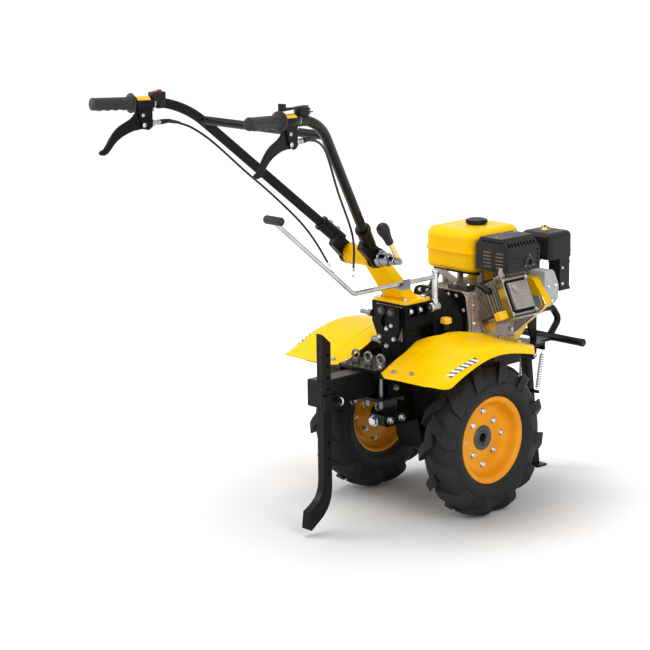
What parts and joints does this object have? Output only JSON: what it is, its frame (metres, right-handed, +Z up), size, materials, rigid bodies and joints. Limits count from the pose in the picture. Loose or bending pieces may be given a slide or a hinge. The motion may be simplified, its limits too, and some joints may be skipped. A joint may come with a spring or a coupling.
{
  "type": "rotary tiller",
  "caption": "Two-wheel walk-behind tiller: engine, gearbox, lug tyres, fenders, a raised forked handlebar that tilts, rear hitch with drag stake and a folding front stand.",
  "frame": {"origin": "middle of the base of the bounding box, on the floor, with the cables left out", "axes": "+X to the machine's right, +Y forward, away from the handlebar, +Z up"},
  "size_m": [0.6006, 1.4398, 1.1692],
  "materials": {
    "tyre": "matte",
    "rim_paint": "orange-yellow gloss enamel",
    "yellow_paint": "yellow gloss powder coat",
    "black_paint": "satin black enamel",
    "cast_aluminium": "as cast",
    "bright_aluminium": "smooth, pressed",
    "bright_steel": "zinc plated",
    "grip_rubber": "matte, ribbed",
    "black_plastic": "fine grain",
    "yellow_plastic": "gloss",
    "dark_steel": "dull",
    "cable_sleeve": "satin black"
  },
  "bodies": {
    "chassis": {"drive_case": "black_paint", "gearbox": "black_paint", "gearbox_rear_cover": "black_paint", "clutch_housing": "black_paint", "oil_dipstick": "yellow_plastic", "control_column": "yellow_paint", "gear_lever": "bright_steel", "gear_lever_grip": "grip_rubber", "lever_guide": "bright_steel", "crankcase": "cast_aluminium", "oil_filler_cap": "yellow_plastic", "cylinder": "cast_aluminium", "valve_cover": "bright_aluminium", "fan_shroud": "yellow_paint", "recoil_starter": "yellow_paint", "fuel_tank": "yellow_paint", "fuel_cap": "black_plastic", "tank_mounts": "bright_steel", "muffler_guard": "black_paint", "muffler": "dark_steel", "air_cleaner": "black_plastic", "carburettor": "cast_aluminium", "carburettor_cover": "bright_aluminium", "engine_bed": "black_paint", "front_bracket": "black_paint", "front_crossbar": "black_paint", "front_hoop": "black_paint", "stand_springs": "bright_steel", "fender_right": "yellow_paint", "fender_left": "yellow_paint", "fender_struts": "black_paint", "hitch_bracket": "black_paint", "hitch_pins": "bright_steel", "drawbar": "black_paint", "drag_stake": "black_paint", "stake_clamp": "black_paint"},
    "wheelset": {"axle_shaft": "bright_steel", "wheel_hubs": "black_paint", "rim_right": "rim_paint", "rim_left": "rim_paint", "tyre_right": "tyre", "tyre_left": "tyre"},
    "handlebar": {"handlebar_sockets": "black_paint", "handlebar_tube_right": "black_paint", "handlebar_tube_left": "black_paint", "handlebar_brace": "black_paint", "grips": "grip_rubber", "lever_brackets": "black_paint", "clutch_levers": "black_paint", "cable_adjusters": "bright_steel", "stop_switch": "black_plastic", "throttle_control": "black_plastic", "clamp_bolt": "bright_steel", "clamp_lever": "bright_steel", "clamp_knob": "black_plastic", "clutch_cable_right": "cable_sleeve", "clutch_cable_left": "cable_sleeve", "clutch_cable_ends": "bright_steel"},
    "front_stand": {"stand_leg": "black_paint"}
  },
  "joints": [
    {"name": "wheel_spin", "type": "hinge", "parent": "chassis", "child": "wheelset", "pos_m": [0, 0.166, 0.207], "axis": [1, 0, 0], "continuous": true},
    {"name": "handlebar_tilt", "type": "hinge", "parent": "chassis", "child": "handlebar", "pos_m": [0, -0.072, 0.705], "axis": [1, 0, 0], "range_deg": [-20, 25]},
    {"name": "stand_fold", "type": "hinge", "parent": "chassis", "child": "front_stand", "pos_m": [0, 0.576, 0.332], "axis": [-1, 0, 0], "range_deg": [0, 78], "deforming": ["stand_springs"]}
  ]
}
